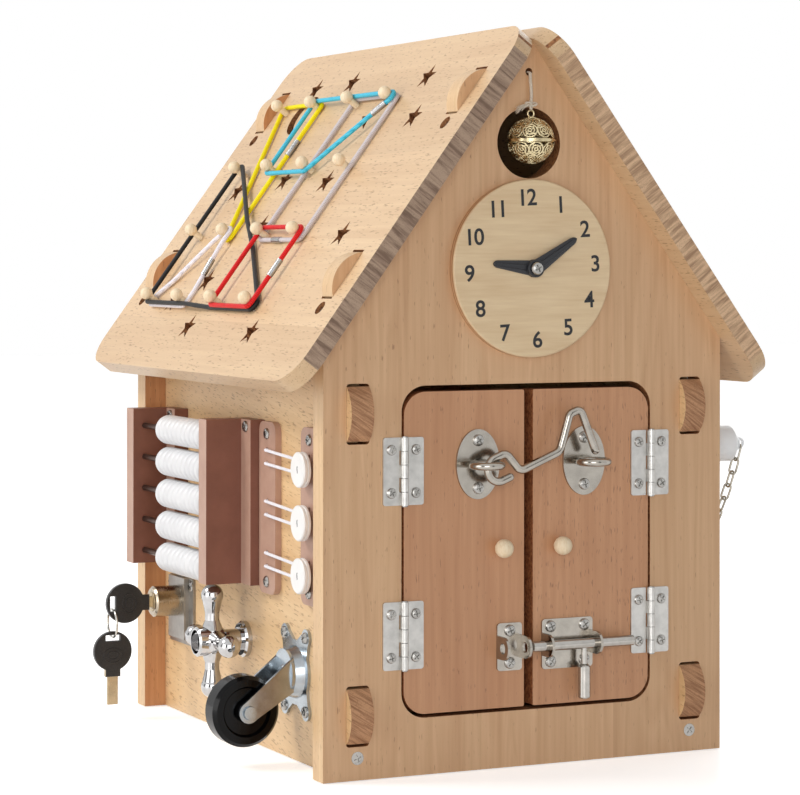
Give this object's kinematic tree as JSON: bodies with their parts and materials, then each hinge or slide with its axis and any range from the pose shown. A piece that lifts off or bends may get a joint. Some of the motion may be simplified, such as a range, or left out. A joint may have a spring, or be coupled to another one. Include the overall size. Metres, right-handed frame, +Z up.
{
  "type": "house-shaped activity board",
  "caption": "Wooden house with hinged doors, hook, bolt, clock, hanging ball, bead frame, button strips, lock, tap, caster, stopper and banded roof pegs for small hands to work.",
  "frame": {"origin": "centre of the base at floor level", "axes": "+Z up; the front gable with the doors faces -Y; the wall with the bead frame, lock, tap and caster faces -X"},
  "size_m": [0.3442, 0.342, 0.4282],
  "materials": {
    "beech_boards": "satin lacquered beech",
    "red_beech": "satin lacquered beech, redder",
    "pale_beech": "pale yellow beech with fine dark flecks, satin lacquer",
    "pale_turnings": "pale turned wood",
    "brown_paint": "board with satin brown paint",
    "birch_ply": "pale plywood",
    "elastic_cord": "coloured woven elastic",
    "grey_metal": "crimped sleeve",
    "screws": "bright cross-head screws",
    "hinge_steel": "satin sheet steel",
    "hook_steel": "polished steel",
    "rod_steel": "bright rod",
    "black_plastic": "moulded, semi matte",
    "pierced_metal": "pierced pale gilt metal",
    "string": "twisted undyed string",
    "white_paint": "turned wood with smooth white paint",
    "lock_metal": "plated lock body",
    "key_metal": "plated blades and ring, black plastic heads",
    "tap_chrome": "bright chrome",
    "caster_metal": "zinc plated steel",
    "wheel_rubber": "glossy black moulded wheel",
    "white_plastic": "smooth white",
    "chain_metal": "bright small chain"
  },
  "bodies": {
    "house": {"front_panel": "beech_boards", "back_panel": "beech_boards", "left_panel": "pale_beech", "right_panel": "pale_beech", "floor_panel": "beech_boards", "roof_left": "pale_beech", "roof_right": "pale_beech", "panel_screws": "screws", "hinge_frame_leaves": "hinge_steel", "hinge_pins": "hinge_steel", "hinge_frame_screws": "screws", "clock_dial": "birch_ply", "clock_screw": "screws", "abacus_brackets": "brown_paint", "abacus_rods": "rod_steel", "side_screws": "screws", "button_strips": "brown_paint", "buttons": "white_paint", "button_loops": "elastic_cord", "lock_case": "lock_metal", "tap_stem": "tap_chrome", "caster_plate": "caster_metal", "roof_pegs": "pale_turnings", "elastic_bands": "elastic_cord", "band_crimps": "grey_metal", "plug_socket": "white_plastic", "plug_chain": "chain_metal"},
    "left_door": {"left_door_panel": "red_beech", "left_knob": "pale_turnings", "left_door_leaves": "hinge_steel", "left_eye": "hook_steel", "bolt_keeper": "hook_steel", "left_door_screws": "screws"},
    "right_door": {"right_door_panel": "red_beech", "right_knob": "pale_turnings", "right_door_leaves": "hinge_steel", "right_eye": "hook_steel", "bolt_base": "hook_steel", "right_door_screws": "screws"},
    "hook": {"cabin_hook": "hook_steel"},
    "bolt": {"bolt_rod": "hook_steel"},
    "hour": {"hour_hand": "black_plastic"},
    "minute": {"minute_hand": "black_plastic"},
    "bell": {"bell_ball": "pierced_metal", "bell_string": "string"},
    "beads_1": {"bead_row_1": "white_paint"},
    "beads_2": {"bead_row_2": "white_paint"},
    "beads_3": {"bead_row_3": "white_paint"},
    "beads_4": {"bead_row_4": "white_paint"},
    "beads_5": {"bead_row_5": "white_paint"},
    "key": {"lock_key": "key_metal"},
    "latch": {"lock_bolt": "lock_metal"},
    "ring": {"key_ring": "key_metal"},
    "spare": {"spare_key": "key_metal"},
    "tap": {"tap_handle": "tap_chrome"},
    "fork": {"caster_fork": "caster_metal", "caster_axle": "caster_metal"},
    "wheel": {"caster_wheel": "wheel_rubber"},
    "stopper": {"stopper_plug": "white_plastic"}
  },
  "joints": [
    {"name": "left_door_hinge", "type": "hinge", "parent": "house", "child": "left_door", "pos_m": [-0.08075, -0.1536, 0.126], "axis": [0, 0, -1], "range_deg": [0, 105]},
    {"name": "right_door_hinge", "type": "hinge", "parent": "house", "child": "right_door", "pos_m": [0.08075, -0.1536, 0.126], "axis": [0, 0, 1], "range_deg": [0, 105]},
    {"name": "hook_swing", "type": "hinge", "parent": "left_door", "child": "hook", "pos_m": [-0.0252, -0.1635, 0.1756], "axis": [0, -1, 0], "range_deg": [-22, 60]},
    {"name": "bolt_slide", "type": "slide", "parent": "right_door", "child": "bolt", "axis": [1, 0, 0], "range_m": [-0.02, 0.005]},
    {"name": "hour_turn", "type": "hinge", "parent": "house", "child": "hour", "pos_m": [0, -0.157, 0.28789], "axis": [0, 1, 0], "continuous": true},
    {"name": "minute_turn", "type": "hinge", "parent": "house", "child": "minute", "pos_m": [0, -0.159, 0.28789], "axis": [0, 1, 0], "continuous": true},
    {"name": "bell_swing", "type": "hinge", "parent": "house", "child": "bell", "pos_m": [0, -0.1532, 0.40179], "axis": [-1, 0, 0], "range_deg": [0, 22]},
    {"name": "beads_1_slide", "type": "slide", "parent": "house", "child": "beads_1", "axis": [0, 1, 0], "range_m": [0, 0.041]},
    {"name": "beads_2_slide", "type": "slide", "parent": "house", "child": "beads_2", "axis": [0, 1, 0], "range_m": [0, 0.041]},
    {"name": "beads_3_slide", "type": "slide", "parent": "house", "child": "beads_3", "axis": [0, 1, 0], "range_m": [0, 0.041]},
    {"name": "beads_4_slide", "type": "slide", "parent": "house", "child": "beads_4", "axis": [0, 1, 0], "range_m": [0, 0.041]},
    {"name": "beads_5_slide", "type": "slide", "parent": "house", "child": "beads_5", "axis": [0, 1, 0], "range_m": [0, 0.041]},
    {"name": "key_turn", "type": "hinge", "parent": "house", "child": "key", "pos_m": [-0.1157, 0.1036, 0.0728], "axis": [1, 0, 0], "range_deg": [0, 90]},
    {"name": "latch_slide", "type": "slide", "parent": "house", "child": "latch", "axis": [0, 0, 1], "range_m": [0, 0.006]},
    {"name": "ring_swing", "type": "hinge", "parent": "key", "child": "ring", "pos_m": [-0.1643, 0.1036, 0.06928], "axis": [0, 1, 0], "range_deg": [-25, 25]},
    {"name": "spare_swing", "type": "hinge", "parent": "ring", "child": "spare", "pos_m": [-0.1643, 0.1036, 0.05168], "axis": [0, 1, 0], "range_deg": [-25, 25]},
    {"name": "tap_turn", "type": "hinge", "parent": "house", "child": "tap", "pos_m": [-0.1157, -0.002, 0.0612], "axis": [1, 0, 0], "continuous": true},
    {"name": "caster_swivel", "type": "hinge", "parent": "house", "child": "fork", "pos_m": [-0.1157, -0.082, 0.0522], "axis": [1, 0, 0], "continuous": true},
    {"name": "wheel_spin", "type": "hinge", "parent": "fork", "child": "wheel", "pos_m": [-0.1507, -0.082, 0.0322], "axis": [0, 1, 0], "continuous": true},
    {"name": "stopper_slide", "type": "slide", "parent": "house", "child": "stopper", "axis": [1, 0, 0], "range_m": [0, 0.02], "deforming": ["plug_chain"]}
  ],
  "couplings": [
    {"joint": "right_door_hinge", "follows": "left_door_hinge", "ratio": 1},
    {"joint": "latch_slide", "follows": "key_turn", "m_per_rad": 0.0038197}
  ]
}
